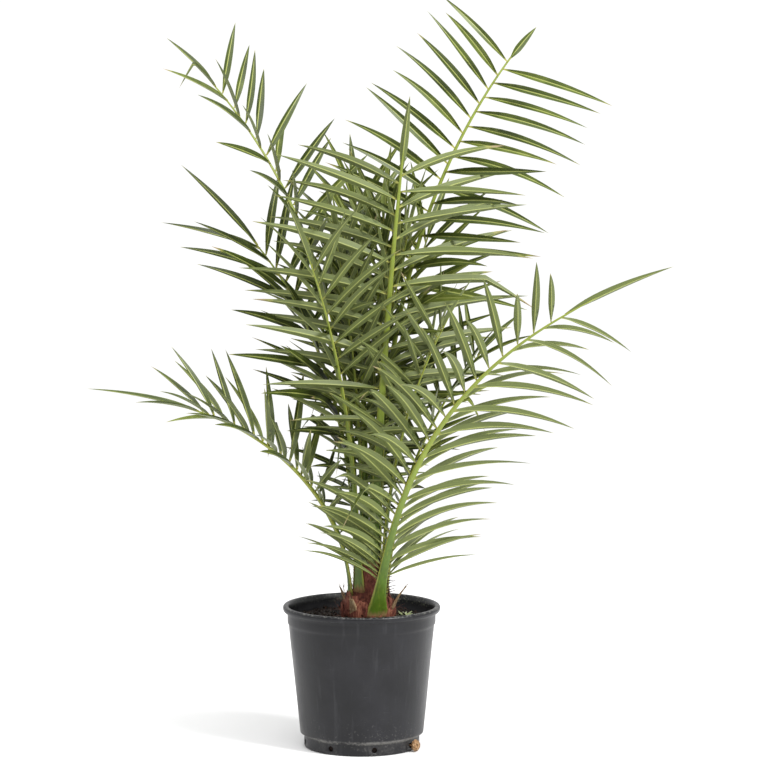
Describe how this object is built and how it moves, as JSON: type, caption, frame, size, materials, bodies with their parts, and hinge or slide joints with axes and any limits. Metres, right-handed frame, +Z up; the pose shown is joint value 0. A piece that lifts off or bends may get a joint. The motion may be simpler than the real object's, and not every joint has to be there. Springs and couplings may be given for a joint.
{
  "type": "potted palm",
  "caption": "Young date palm with arching pinnate fronds and a fibrous crown, growing in a round tapered plastic nursery pot of soil.",
  "frame": {"origin": "middle of the pot's flat underside, on the ground", "axes": "+Z up through the pot and the crown; -Y faces the viewer, the side the low front frond arches towards; +X to the viewer's right"},
  "size_m": [0.8639, 0.5851, 1.1429],
  "materials": {
    "pot": "satin",
    "soil": "matte",
    "crown_fibre": "matte",
    "roots": "matte",
    "leaf": "satin",
    "young_leaf": "satin",
    "dry_stub": "matte"
  },
  "bodies": {
    "root": {"pot": "pot", "root_ball": "soil", "crown": "crown_fibre", "root_tuft": "roots", "frond_front_low": "leaf", "frond_left_low": "leaf", "frond_front_high": "leaf", "frond_left_high": "leaf", "frond_right_high": "leaf", "frond_left_mid": "leaf", "frond_right_mid": "leaf", "frond_front_left": "leaf", "frond_back_right": "leaf", "frond_right_inner": "leaf", "frond_back_low": "leaf", "frond_back_high": "leaf", "frond_heart": "leaf", "frond_heart_left": "leaf", "frond_heart_right": "leaf", "spear_leaf": "young_leaf", "stub_left": "dry_stub", "stub_front_left": "dry_stub", "stub_front_right": "dry_stub", "stub_back_right": "dry_stub", "stub_back_left": "dry_stub"}
  },
  "joints": []
}
